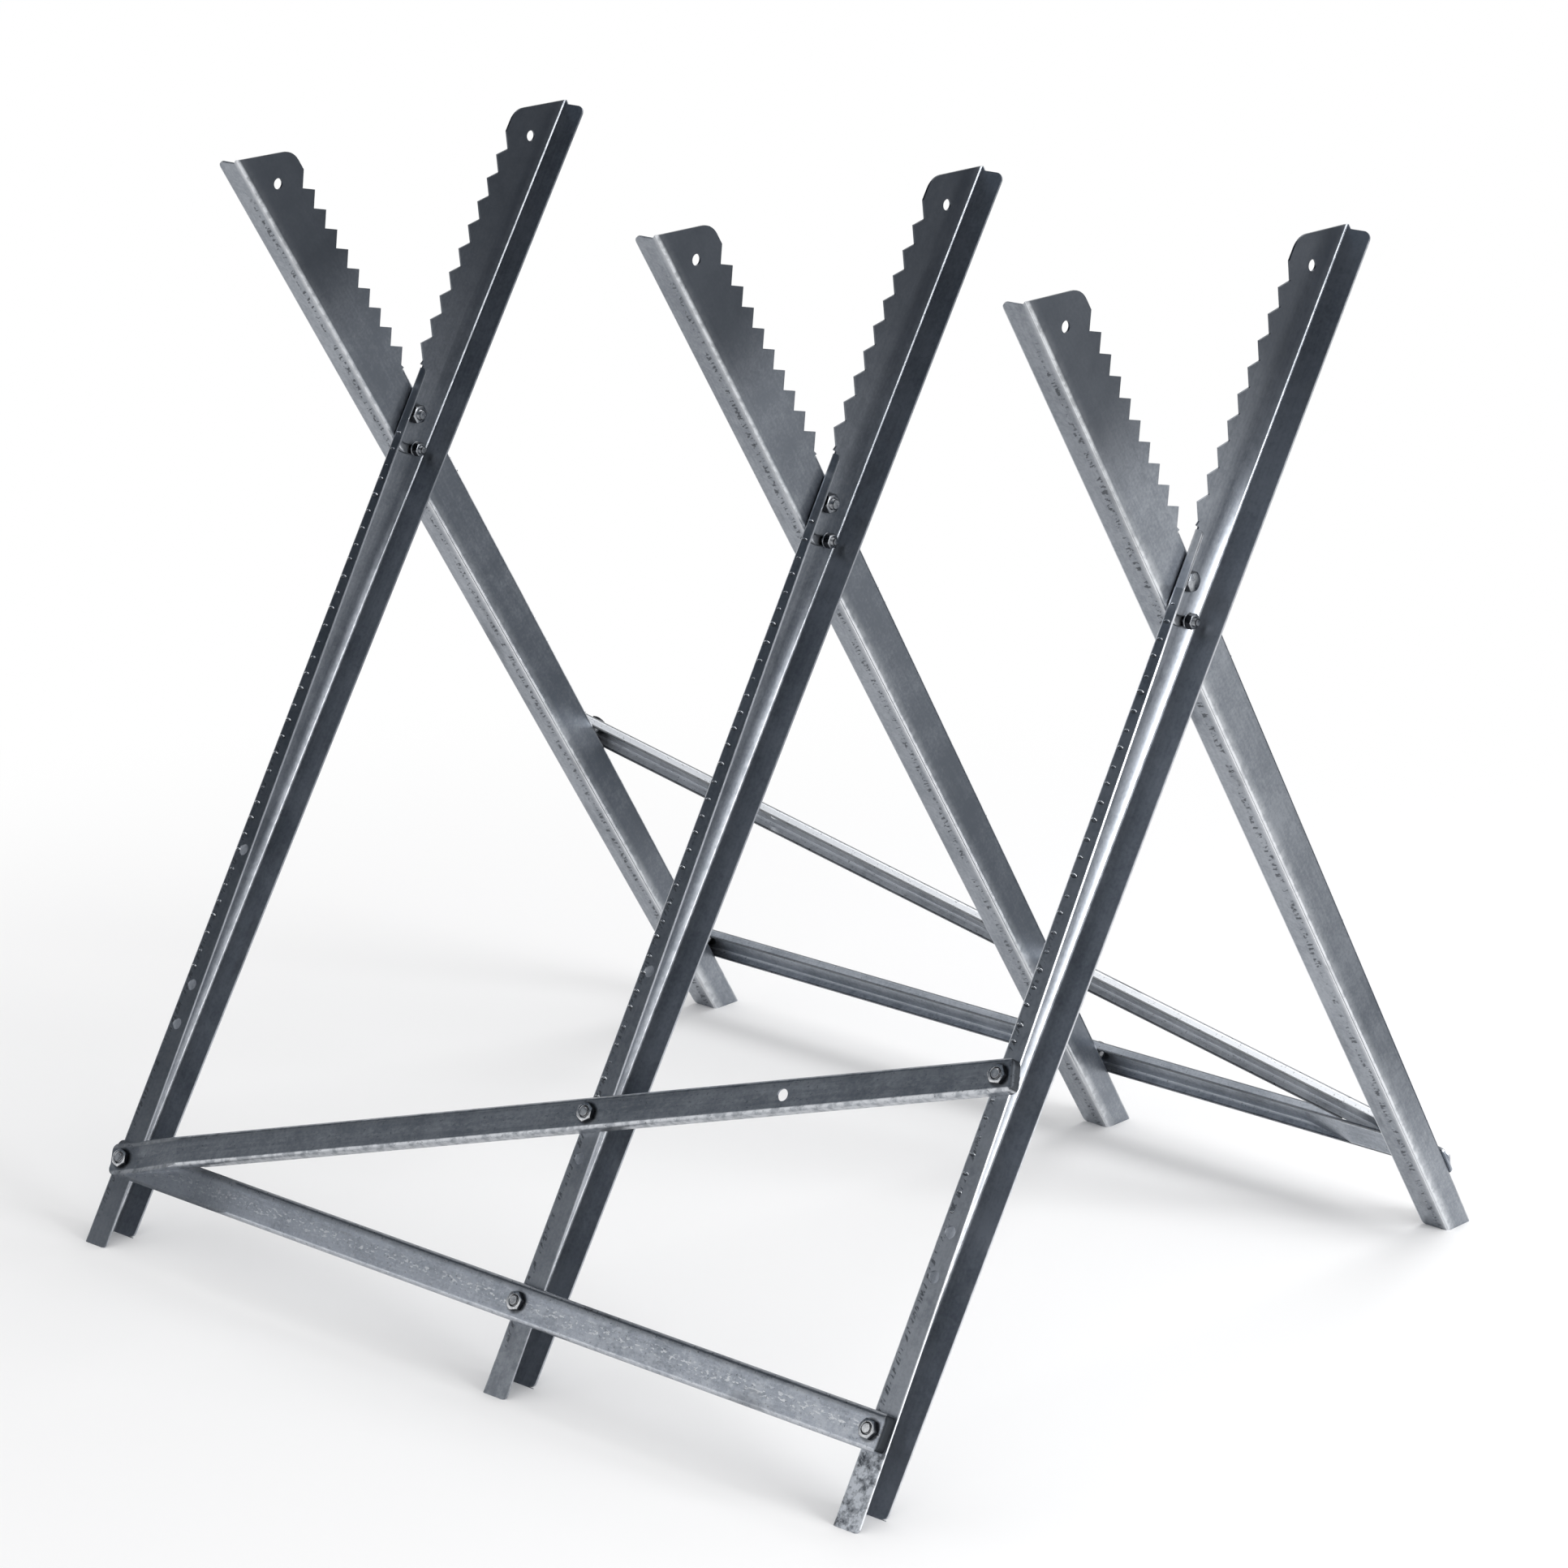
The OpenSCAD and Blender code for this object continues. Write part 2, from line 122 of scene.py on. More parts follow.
class Finish:                                                       # a material and the one way to add nodes to it
    def __init__(self, name):
        self.material = bpy.data.materials.new(name)
        self.material.use_nodes = True
        self.tree = self.material.node_tree
        self.tree.nodes.clear()

    def add(self, kind, settings=None, sockets=None, out=0):
        node = self.tree.nodes.new("ShaderNode" + kind)
        for key, value in (settings or {}).items():
            setattr(node, key, value)
        for key, value in (sockets or {}).items():
            plug(self.tree, node.inputs[key], value)
        return Wire(self.tree, node.outputs[out]) if len(node.outputs) else node

    def place(self):
        return self.add("TexCoord", out="Object")

    def split(self, vector):
        return [self.add("SeparateXYZ", sockets={0: vector}, out=i) for i in range(3)]

    def join(self, x, y, z):
        return self.add("CombineXYZ", sockets={0: x, 1: y, 2: z})

    def noise(self, vector, scale, detail, rough=0.55):
        return self.add("TexNoise", {"noise_dimensions": "3D"},
                        {"Vector": vector, "Scale": scale, "Detail": detail, "Roughness": rough})

    def stretched(self, vector, scale, detail, shift=(0.0, 0.0, 0.0)):    # noise drawn out along the sheet
        mapped = self.add("Mapping", None, {"Vector": vector, "Location": shift, "Scale": scale})
        return self.noise(mapped, 1.0, detail)

    def cells(self, vector, scale):
        return self.add("TexVoronoi", {"feature": "F1"},
                        {"Vector": vector, "Scale": scale, "Randomness": 1.0}, "Color")

    def ease(self, value, low, high, start=0.0, end=1.0):
        return self.add("MapRange", {"interpolation_type": "SMOOTHSTEP", "clamp": True},
                        {"Value": value, "From Min": low, "From Max": high, "To Min": start, "To Max": end})

    def fade(self, value, low, high, start=1.0, end=0.0):
        return self.ease(value, low, high, start, end)

    def band(self, value, low, high, soft):                         # 1 between low and high, with soft ends
        return self.ease(value, low - soft, low + soft) * self.fade(value, high - soft, high + soft)

    def blend(self, factor, first, second):
        m = mixSockets
        return self.add("Mix", {"data_type": "RGBA", "clamp_factor": True},
                        {m["factor"]: factor, m["first"]: first, m["second"]: second}, m["result"])

    def surface(self, shader):
        self.add("OutputMaterial", None, {"Surface": shader})
        return self.material

    def metal(self, colour, roughness, height, bump=1.0, reach=1.0):
        normal = self.add("Bump", None, {"Strength": bump, "Distance": reach, "Height": height})
        return self.surface(self.add("BsdfPrincipled", {"distribution": "GGX"}, {
            "Base Color": colour, "Roughness": roughness, "Metallic": 1.0, "Normal": normal}))


def rgb(red, green, blue):
    return (red, green, blue, 1.0)


def span(low, high):                                                # from and to in millimetres
    return low * mm, high * mm


# galvanised sheet of the legs: rolled streaks, fine grain, press marks, folds bright with rubbing and painted
# highlights, painted dark reflections on the heads and painted shade that differs by trestle
legSteel = {
    "dark": rgb(0.235, 0.257, 0.290), "light": rgb(0.415, 0.440, 0.480), "brightSheet": rgb(0.78, 0.80, 0.83),
    "scuffAndShade": rgb(0.035, 0.040, 0.048), "head": rgb(0.072, 0.081, 0.096), "dimSheet": rgb(0.115, 0.130, 0.152),
    "rubbed": rgb(0.70, 0.735, 0.79),
    "roughness": {"base": 0.30, "tone": 0.16, "smears": 0.10, "marks": 0.20, "brightening": -0.07},
    "relief": {"grit": 0.25, "grain": 0.25, "clouds": 0.5, "marks": -0.8, "depth": 0.1 * mm},
    "tone": {"clouds": 0.42, "streaks": 0.20, "grain": 0.32, "flower": 0.06},
    "seeds": {"trestle": 0.31, "frame": 0.17},
    # scale and detail of the noises, then the same with a scale for each way
    "clouds": (20.0, 4.0), "grain": (420.0, 3.0), "grit": (1500.0, 2.0), "rubbing": (150.0, 4.0),
    "wander": (60.0, 2.0), "gaps": (75.0, 2.0), "blotches": (150.0, 5.0, 0.66), "flower": 150.0,
    "streaks": ((460, 460, 8), 4.0), "strokes": ((150, 150, 430), 2.0), "smears": ((55, 55, 16), 5.0),
    # the part of a noise that shows
    "toneShown": (0.30, 0.70), "rubbingShown": (0.38, 0.60), "strokesShown": (0.53, 0.58), "gapsShown": (0.37, 0.45),
    "smearsShown": (0.60, 0.74), "paleShown": (0.46, 0.58), "darkShown": (0.37, 0.47),
    # into the channel from the back of the web
    "web": span(2.0, 2.6), "webTone": span(2.0, 2.4), "webFace": span(0.9, 1.3), "webRims": span(2.2, 2.8),
    "foldDeep": span(1.0, 3.6), "paintedFoldHighlight": span(0.8, 6.5), "backMarks": span(6.0, 11.5),
    "toothMarks": span(3.4, 7.5),
    # from a fold, a free edge, the slot's middle line or the pivot
    "flange": span(1.6, 2.2), "outerFace": span(0.5, 0.9), "fold": span(0.5, 3.4), "webSheen": span(2.0, 10.0),
    "toothEdge": span(-1.2, -0.5), "backEdge": span(-0.9, -0.1), "cutEdge": span(-0.20, -0.05),
    "slotRim": span(3.1, 4.1), "boltRim": span(6.4, 8.2),
    # up the leg from the pivot
    "flangeEnd": (0.034, 0.036), "foldEnd": (0.030, 0.036), "marksFrom": (-0.67, 0.24),
    "toothMarksFrom": (-0.66, -0.26), "foot": (-0.640, -0.612), "cutFrom": (-0.065, -0.020), "curlFrom": -9.0 * mm,
    "headShadeFull": 0.200, "headShadeRun": 0.110, "headShadeLead": 0.020, "slotSwing": (-0.06, 0.68),
    # softness of the bands and how far the marks wander
    "backSoft": 0.8 * mm, "toothSoft": 0.6 * mm, "toothRunSoft": 0.03, "marksSoft": 0.02, "slotSoft": 0.25 * mm,
    "swingSoft": 0.05, "boltSoft": 0.7 * mm, "backWander": 6.0 * mm, "toothWander": 3.0 * mm, "footWander": 0.03,
    # strengths; the pairs are a base and what the rubbing adds
    "webSheenStrength": (0.5, 0.5), "foldWearAndSheen": (0.55, 0.45), "edgeWear": (0.75, 0.25), "headPaintedShade": (0.70, 0.4),
    "webSheenPeak": 0.75, "sheenUnderHeadShade": 0.12, "strokeSlope": 0.5, "toothShare": 0.7, "slotDirtAndShade": 0.75, "boltDirtAndShade": 0.45,
    "smearDirt": 0.25, "footDirt": 0.75, "burr": -0.45, "curl": -0.62,
}
sheetLots = {                                                       # for each trestle: painted shade on the tone, web, heads and tooth flange, painted edge highlights, the web's bow and the worn feet
    "left": {"shade": 0.03, "web": -0.08, "bow": 11.0 * mm, "slope": 0.36, "edge": 0.20, "foot": 0.0,
             "headShadeFrom": -0.150, "toothShade": 0.55, "rearHeadShade": (0.065, 0.170)},
    "middle": {"shade": 0.04, "web": -0.08, "bow": 15.0 * mm, "slope": 0.40, "edge": 0.25, "foot": 0.12,
               "headShadeFrom": -0.130, "toothShade": 0.3, "rearHeadShade": (0.085, 0.185)},
    "right": {"shade": 0.06, "web": -0.02, "bow": 19.0 * mm, "slope": 0.50, "edge": 0.85, "foot": 0.90,
              "headShadeFrom": 0.010, "toothShade": 0.0, "rearHeadShade": (0.065, 0.180)},
}
legLots = {                                                         # what the front and the rear legs show of it; the rear legs carry darker painted shade
    "front": {"shade": 0.0, "toothShade": 1.0, "paintedFoldHighlight": 0.0, "marks": 0.90, "foot": 1.0},
    "rear": {"shade": -0.06, "toothShade": 0.3, "paintedFoldHighlight": 0.50, "marks": 0.62, "foot": 0.15},
}


def legFinish(name, frameName, trestle, seed):
    f, k, lot, share = Finish(name), legSteel, sheetLots[trestle], legLots[frameName]
    side = frames[frameName]["side"]
    x, y, z = f.split(f.place())
    rise = z - stand["pivotHeight"]
    up = y * (side * sinLean) + rise * cosLean                      # along the leg
    out = rise * sinLean - y * (side * cosLean)                     # across it, towards the teeth
    deep = (x - stand["trestles"][trestle]) * side                  # into the channel
    sheet = f.join(deep + seed, out, up)
    clouds, grain, grit = [f.noise(sheet, *k[n]) for n in ("clouds", "grain", "grit")]
    streaks = f.stretched(sheet, *k["streaks"])
    flower = f.split(f.cells(sheet, k["flower"]))[0]
    rubbed = f.ease(f.noise(sheet, *k["rubbing"]), *k["rubbingShown"])
    wander = f.noise(sheet, *k["wander"]) - 0.5

    def patchy(pair, amount=rubbed):
        return pair[0] + amount * pair[1]

    # where a point lies on the folded sheet
    onWeb = f.fade(deep, *k["web"])
    backFace = stand["pivotInset"] - stand["webWidth"]
    toToothFold = abs(out - (stand["pivotInset"] + up * slantTan))
    toBackFold = abs(out - backFace)
    belowHead = f.fade(up, *k["flangeEnd"])
    onTooth = f.fade(toToothFold, *k["flange"]) * belowHead
    onBack = f.fade(toBackFold, *k["flange"])
    outerBack = f.fade(toBackFold, *k["outerFace"])
    outerTooth = f.fade(toToothFold, *k["outerFace"]) * belowHead
    pastTooth = deep - (stand["webBack"] + stand["toothFlange"] - up * slantTan)

    # shades of the sheet, with painted shade that differs by trestle, frame and web, and painted dark reflections on
    # the heads
    m = k["tone"]
    tone = clouds * m["clouds"] + streaks * m["streaks"] + grain * m["grain"] + flower * m["flower"]
    tone = tone + (lot["shade"] + share["shade"]) + f.fade(deep, *k["webTone"], lot["web"])
    frontHeadShade = (min(lot["headShadeFrom"] + k["headShadeLead"], 0.0), k["headShadeFull"])
    # painted dark reflection on the heads, full towards the top
    head = f.ease(up, *(frontHeadShade if side > 0 else lot["rearHeadShade"])) * onWeb
    clearOfHeadShade = f.fade(up, lot["headShadeFrom"], lot["headShadeFrom"] + k["headShadeRun"], 1.0, k["sheenUnderHeadShade"])
    colour = f.blend(f.ease(tone, *k["toneShown"]), k["dark"], k["light"])
    colour = f.blend(head * patchy(k["headPaintedShade"], clouds), colour, k["head"])

    # bright folds and free edges, with wear and painted highlights, and a painted sheen on the web towards the back
    # fold
    folds = f.fade(toToothFold, *k["fold"]) * f.fade(up, *k["foldEnd"]) + f.fade(toBackFold, *k["fold"])
    folds = folds * f.fade(deep, *k["foldDeep"])
    freeEdge = onTooth * f.ease(pastTooth, *k["toothEdge"]) \
        + onBack * f.ease(deep - stand["backFlange"], *k["backEdge"])
    # painted highlight on the web by the back fold, faint under the painted head shade
    webSheenMask = f.fade(toBackFold, *k["webSheen"], k["webSheenPeak"]) * onWeb * clearOfHeadShade
    brightening = webSheenMask * patchy(k["webSheenStrength"]) + folds * patchy(k["foldWearAndSheen"])
    # free edges bright with wear and a painted highlight, stronger on the right trestle
    brightening = (brightening + freeEdge * patchy(k["edgeWear"]) * lot["edge"]).least(1.0)
    colour = f.blend(brightening, colour, k["brightSheet"])
    # painted shade on the tooth flange's outer face, strongest on the front legs
    colour = f.blend(outerTooth * (lot["toothShade"] * share["toothShade"]), colour, k["dimSheet"])
    # painted highlight on the rear legs' back flange by the fold
    colour = f.blend(outerBack * f.fade(deep, *k["paintedFoldHighlight"], share["paintedFoldHighlight"]), colour, k["brightSheet"])

    # rows of short dark strokes that the press left on the flanges
    slope = f.join(deep, out, up + deep * k["strokeSlope"])
    strokes = f.ease(f.stretched(slope, *k["strokes"], (seed, seed, 0.0)), *k["strokesShown"])
    gaps = f.ease(f.noise(sheet, *k["gaps"]), *k["gapsShown"])
    backMarks = outerBack * f.band(deep + wander * k["backWander"], *k["backMarks"], k["backSoft"])
    toothMarks = outerTooth * f.band(deep + wander * k["toothWander"], *k["toothMarks"], k["toothSoft"])
    toothMarks = toothMarks * f.band(up, *k["toothMarksFrom"], k["toothRunSoft"])
    marks = (backMarks + toothMarks * k["toothShare"]).least(1.0) * strokes * gaps
    marks = marks * f.band(up, *k["marksFrom"], k["marksSoft"])
    colour = f.blend(marks * share["marks"], colour, k["scuffAndShade"])

    # feet rubbed on the ground, dirt and painted shade round the slot and the pivot, smears
    foot = outerTooth * f.fade(up + wander * k["footWander"], *k["foot"]) * (lot["foot"] * share["foot"])
    blotches = f.noise(sheet, *k["blotches"])
    colour = f.blend(foot * f.ease(blotches, *k["paleShown"]), colour, k["rubbed"])
    colour = f.blend(foot * f.fade(blotches, *k["darkShown"], k["footDirt"]), colour, k["scuffAndShade"])
    reach = (up * up + out * out).root()
    swing = (-out).angle(-up)                                       # round the pivot from straight down the leg
    slotRim = f.band(abs(reach - stand["stopReach"]), *k["slotRim"], k["slotSoft"])
    slotRim = slotRim * f.band(swing, *k["slotSwing"], k["swingSoft"])
    boltRim = f.band(reach, *k["boltRim"], k["boltSoft"])
    rims = (slotRim * k["slotDirtAndShade"] + boltRim * k["boltDirtAndShade"]).least(1.0) * f.fade(deep, *k["webRims"])
    smears = f.ease(f.stretched(sheet, *k["smears"]), *k["smearsShown"])
    colour = f.blend((smears * k["smearDirt"] + rims).least(1.0), colour, k["scuffAndShade"])
    r = k["roughness"]
    roughness = r["base"] + tone * r["tone"] + smears * r["smears"] + marks * r["marks"] + brightening * r["brightening"]

    # the web bends softly into the back fold, the cut edge is rolled and the flange's end turns over
    intoFold = (lot["bow"] + backFace - out).most(0.0)
    bow = intoFold * intoFold * (lot["slope"] / lot["bow"] / 2)
    bow = bow * f.fade(deep, *k["webTone"]) * f.ease(deep, *k["webFace"]) * clearOfHeadShade
    cutEdge = onTooth * f.ease(pastTooth, *k["cutEdge"]) * f.fade(up, *k["cutFrom"])
    burr = out * (k["burr"] * lot["edge"]) * cutEdge
    curl = (up - k["curlFrom"]).most(0.0) * (k["curl"] * lot["edge"]) * outerTooth
    h = k["relief"]
    relief = grit * h["grit"] + grain * h["grain"] + clouds * h["clouds"] + marks * h["marks"]
    return f.metal(colour, roughness, relief * h["depth"] + bow + curl + burr)


for frameName in frames:
    for number, trestle in enumerate(stand["trestles"]):
        seed = legSteel["seeds"]["trestle"] * number + legSteel["seeds"]["frame"] * frames[frameName]["side"]
        material = legFinish("legSteel_%s_%s" % (frameName, trestle), frameName, trestle, seed)
        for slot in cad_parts["%s_leg_%s" % (frameName, trestle)].material_slots:
            slot.material = material
print("leg finishes done")

# sheet of the braces: fine dark grain with pits, chips and rubbed patches, painted highlights on the upper wall and
# folds, and lines of painted shade along the edges
braceSteel = {
    "brightSheet": rgb(0.73, 0.765, 0.82), "chipAndHighlight": rgb(0.93, 0.955, 0.99), "scuffAndShade": rgb(0.040, 0.045, 0.052),
    "dimSheet": rgb(0.150, 0.168, 0.195),
    "roughness": {"base": 0.33, "tone": 0.14, "smears": 0.10, "brightening": -0.06, "endWall": 0.2},
    "relief": {"grit": 0.25, "grain": 0.3, "clouds": 0.4, "pits": -0.6, "bump": 0.24, "reach": 0.5 * mm},
    "tone": {"clouds": 0.42, "streaks": 0.26, "grain": 0.32},
    "seeds": {"rise": 0.4, "frame": 0.9},
    # scale and detail of the noises, then the same with a scale for each way
    "clouds": (36.0, 5.0), "grain": (380.0, 4.0), "grit": (1300.0, 2.0), "rubbing": (170.0, 4.0),
    "drift": (40.0, 2.0), "patches": (110.0, 6.0, 0.66), "pits": (520.0, 3.0),
    "streaks": ((8, 420, 420), 4.0), "chips": ((210, 520, 520), 4.0), "smears": ((18, 70, 70), 5.0),
    # the part of a noise that shows
    "toneShown": (0.30, 0.70), "rubbingShown": (0.36, 0.60), "chipsShown": (0.55, 0.60), "patchesShown": (0.44, 0.62),
    "pitsShown": (0.62, 0.70), "smearsShown": (0.60, 0.74),
    # along the brace, across it from an edge or the middle, and out from the leg
    "worked": (0.05, 0.70), "startDull": (0.085, 0.170), "endWall": span(8.6, 10.2), "boltRim": span(7.2, 9.6),
    "edge": span(-3.0, -0.4), "edgeSoft": 0.8 * mm, "midRow": span(1.0, 5.5), "rowDrift": 9.0 * mm,
    "topWall": span(-0.7, -0.3), "topRim": span(-2.0, -1.4), "farCorner": span(-2.4, -1.6),
    "topShade": span(-7.0, -2.0), "lowRim": span(1.7, 2.3), "innerFold": span(1.9, 3.2), "lowFold": span(-4.0, -2.6),
    "lowShade": span(-3.4, -1.6),
    "cutRim": span(0.7, 1.5), "farRim": span(-3.0, -2.2), "innerDeep": span(-3.4, -1.0), "innerSoft": 0.4 * mm,
    # strengths; the pairs are a base and what the rubbing adds
    "edgeWear": (0.15, 0.30), "foldWearAndSheen": (0.15, 0.85), "offRow": 0.25, "endWallShade": 0.93,
    "dirtAndShade": {"pits": 0.45, "smears": 0.22, "bolts": 0.7, "top": 0.62, "low": 0.30},
}
braceLots = {                                                       # shades and the share of each effect; the shades differ by brace as painted light and shade, edges sets the painted shade along the top and lower edges, and rims sets the painted inner-fold highlight and dark rims
    "front_diagonal": {"dark": rgb(0.215, 0.237, 0.270), "pale": rgb(0.40, 0.425, 0.465), "light": -0.05,
                       "chips": 0.10, "patches": 0.12, "edges": 0.45, "topWall": 0.0, "lowFold": 0.45,
                       "startDull": 0.0, "rims": 0.0},
    "front_low": {"dark": rgb(0.270, 0.300, 0.350), "pale": rgb(0.580, 0.620, 0.690), "light": 0.08,
                  "chips": 0.95, "patches": 0.65, "edges": 1.0, "topWall": 0.0, "lowFold": 0.0,
                  "startDull": 0.6, "rims": 0.0},
    "rear_diagonal": {"dark": rgb(0.30, 0.32, 0.35), "pale": rgb(0.66, 0.68, 0.71), "light": 0.06,
                      "chips": 0.20, "patches": 0.20, "edges": 0.0, "topWall": 0.95, "lowFold": 0.0,
                      "startDull": 0.0, "rims": 0.8},
    "rear_low": {"dark": rgb(0.285, 0.315, 0.360), "pale": rgb(0.52, 0.555, 0.61), "light": 0.0,
                 "chips": 0.10, "patches": 0.0, "edges": 0.0, "topWall": 0.0, "lowFold": 0.0,
                 "startDull": 0.0, "rims": 0.7},
}


def braceFinish(name, frameName, lot, rise, width):
    f, k, side, half = Finish(name), braceSteel, frames[frameName]["side"], width / 2
    x, y, z = f.split(f.place())
    y, z = y * side, z - stand["pivotHeight"]
    up = y * math.sin(foldLean) + z * math.cos(foldLean) - lowHole
    lift = z * math.sin(foldLean) - y * math.cos(foldLean)
    along = x * side - (stand["trestles"]["left"] + stand["braceX"])
    ahead = along * math.cos(rise) + up * math.sin(rise)            # along this brace
    across = up * math.cos(rise) - along * math.sin(rise)
    over = lift - stand["pivotInset"] * math.cos(stand["slant"])    # out from the leg's flange
    fromTop, fromLow, fromFar = across - half, across + half, over - stand["braceDepth"]
    sheet = f.join(along, across, lift + (k["seeds"]["rise"] * rise + k["seeds"]["frame"] * side))
    clouds, grain, grit = [f.noise(sheet, *k[n]) for n in ("clouds", "grain", "grit")]
    streaks = f.stretched(sheet, *k["streaks"])
    rubbed = f.ease(f.noise(sheet, *k["rubbing"]), *k["rubbingShown"])

    def patchy(pair):
        return pair[0] + rubbed * pair[1]

    m = k["tone"]
    tone = clouds * m["clouds"] + streaks * m["streaks"] + grain * m["grain"] + lot["light"]
    colour = f.blend(f.ease(tone, *k["toneShown"]), lot["dark"], lot["pale"])

    # patches rubbed more and more towards the far end, edges, and a row of bright chips
    patches = f.ease(f.noise(sheet, *k["patches"]), *k["patchesShown"]) * f.ease(ahead, *k["worked"])
    edge = f.band(abs(across) - half, *k["edge"], k["edgeSoft"])
    drift = (f.noise(sheet, *k["drift"]) - 0.5) * k["rowDrift"]
    midRow = f.fade(abs(across + drift), *k["midRow"], 1.0, k["offRow"])
    chips = f.ease(f.stretched(sheet, *k["chips"]), *k["chipsShown"]) * midRow
    brightening = (edge * patchy(k["edgeWear"]) + chips * lot["chips"]).least(1.0)
    colour = f.blend(patches * lot["patches"], colour, k["brightSheet"])
    colour = f.blend(brightening, colour, k["chipAndHighlight"])
    colour = f.blend(f.fade(ahead, *k["startDull"]) * lot["startDull"], colour, k["dimSheet"])

    # painted highlights on the upper wall, the inner fold and the lower fold
    innerFold = f.fade(fromLow, *k["innerFold"]) * f.band(fromFar, *k["innerDeep"], k["innerSoft"])
    lowFold = f.ease(-across - half, *k["lowFold"]) * patchy(k["foldWearAndSheen"])
    colour = f.blend(f.ease(fromTop, *k["topWall"]) * lot["topWall"], colour, k["chipAndHighlight"])
    colour = f.blend(innerFold * lot["rims"], colour, k["chipAndHighlight"])
    colour = f.blend(lowFold * lot["lowFold"], colour, k["chipAndHighlight"])

    # painted shade: dark rims, darker bands along the top and lower edges, and the shaded end wall; dirt and painted
    # shade round the bolts
    bothRims = (f.ease(fromTop, *k["topRim"]) + f.fade(fromLow, *k["lowRim"])).least(1.0)
    rims = f.fade(over, *k["cutRim"]) * bothRims + f.ease(fromTop, *k["farCorner"]) * f.ease(fromFar, *k["farRim"])
    topShade = f.ease(fromTop, *k["topShade"])
    lowShade = f.ease(-across - half, *k["lowShade"])
    endWall = f.ease(ahead - standLength / math.cos(rise), *k["endWall"])
    pits = f.ease(f.noise(sheet, *k["pits"]), *k["pitsShown"])
    smears = f.ease(f.stretched(sheet, *k["smears"]), *k["smearsShown"])
    toBolts = []
    for place in (0.0, frames[frameName]["bay"], standLength):
        past = ahead - place / math.cos(rise)
        toBolts.append((past * past + across * across).root())
    boltRim = f.fade(toBolts[0].least(toBolts[1]).least(toBolts[2]), *k["boltRim"])
    d = k["dirtAndShade"]
    dirtAndShade = pits * d["pits"] + smears * d["smears"] + boltRim * d["bolts"] + rims * lot["rims"]
    dirtAndShade = dirtAndShade + (topShade * d["top"] + lowShade * d["low"]) * lot["edges"] + endWall * (k["endWallShade"] + lot["light"])
    colour = f.blend(dirtAndShade.least(1.0), colour, k["scuffAndShade"])
    r, h = k["roughness"], k["relief"]
    roughness = r["base"] + tone * r["tone"] + smears * r["smears"] + brightening * r["brightening"] + endWall * r["endWall"]
    relief = grit * h["grit"] + grain * h["grain"] + clouds * h["clouds"] + pits * h["pits"]
    return f.metal(colour, roughness, relief, h["bump"], h["reach"])


for frameName in frames:
    for kind, rise, width in (("diagonal", diagonal, stand["diagonalWidth"]), ("low", 0.0, stand["lowWidth"])):
        braceName = "%s_%s" % (frameName, kind)
        material = braceFinish("braceSteel_" + braceName, frameName, braceLots[braceName], rise, width)
        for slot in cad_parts[braceName + "_brace"].material_slots:
            slot.material = material
print("brace finishes done")

# zinc of the bolts, nuts and washers, in a bright copy and a darker copy with painted dark reflection for the pivot
# and stop hardware
zinc = {
    "bright": (rgb(0.46, 0.475, 0.50), rgb(0.86, 0.87, 0.885)),
    "paintedDark": (rgb(0.20, 0.215, 0.24), rgb(0.52, 0.54, 0.565)),
    "grimeAndShade": rgb(0.035, 0.037, 0.042), "clouds": (160.0, 4.0), "cloudsShown": (0.35, 0.68),
    "specks": (900.0, 3.0), "specksShown": (0.60, 0.70), "speckDirt": 0.45,
    "grimeAndShadeShown": (0.15, 0.85), "grimeAndShadeClouds": (0.3, -0.15),
    "roughness": {"base": 0.20, "clouds": 0.16, "specks": 0.2},
    "relief": {"clouds": 0.5, "specks": -0.6, "bump": 0.25, "reach": 0.3 * mm},
}


def zincFinish(name, shade):
    f, k = Finish(name), zinc
    r, h = k["roughness"], k["relief"]
    grimeAndShade = f.add("Attribute", {"attribute_name": "grimeAndShade", "attribute_type": "GEOMETRY"}, out="Fac")
    clouds = f.noise(f.place(), *k["clouds"])
    specks = f.ease(f.noise(f.place(), *k["specks"]), *k["specksShown"])
    corners = f.ease(grimeAndShade + clouds * k["grimeAndShadeClouds"][0] + k["grimeAndShadeClouds"][1], *k["grimeAndShadeShown"])
    colour = f.blend(f.ease(clouds, *k["cloudsShown"]), *k[shade])
    colour = f.blend((specks * k["speckDirt"] + corners).least(1.0), colour, k["grimeAndShade"])
    roughness = r["base"] + clouds * r["clouds"] + specks * r["specks"]
    return f.metal(colour, roughness, clouds * h["clouds"] + specks * h["specks"], h["bump"], h["reach"])


brightZinc, paintedDarkZinc = zincFinish("brightZinc", "bright"), zincFinish("paintedDarkZinc", "paintedDark")


def meshObject(name, bm, material=None):
    bmesh.ops.recalc_face_normals(bm, faces=bm.faces)
    mesh = bpy.data.meshes.new(name)
    bm.to_mesh(mesh)
    bm.free()
    obj = bpy.data.objects.new(name, mesh)
    scene.collection.objects.link(obj)
    if material:
        mesh.materials.append(material)
    return obj


def ringSkin(bm, rings, closed, grimeAndShade=()):                          # joins rings into one skin, each with its grime and painted shade
    layer = bm.verts.layers.float.get("grimeAndShade") or bm.verts.layers.float.new("grimeAndShade")
    rows = [[bm.verts.new(point) for point in ring] for ring in rings]
    for row, amount in zip(rows, grimeAndShade):
        for vert in row:
            vert[layer] = amount
    pairs = list(zip(rows, rows[1:])) + ([(rows[-1], rows[0])] if closed else [])
    for lower, upper in pairs:
        for i in range(len(lower)):
            j = (i + 1) % len(lower)
            bm.faces.new((lower[i], lower[j], upper[j], upper[i]))
    return rows


def angles(steps):
    return [2 * math.pi * i / steps for i in range(steps)]


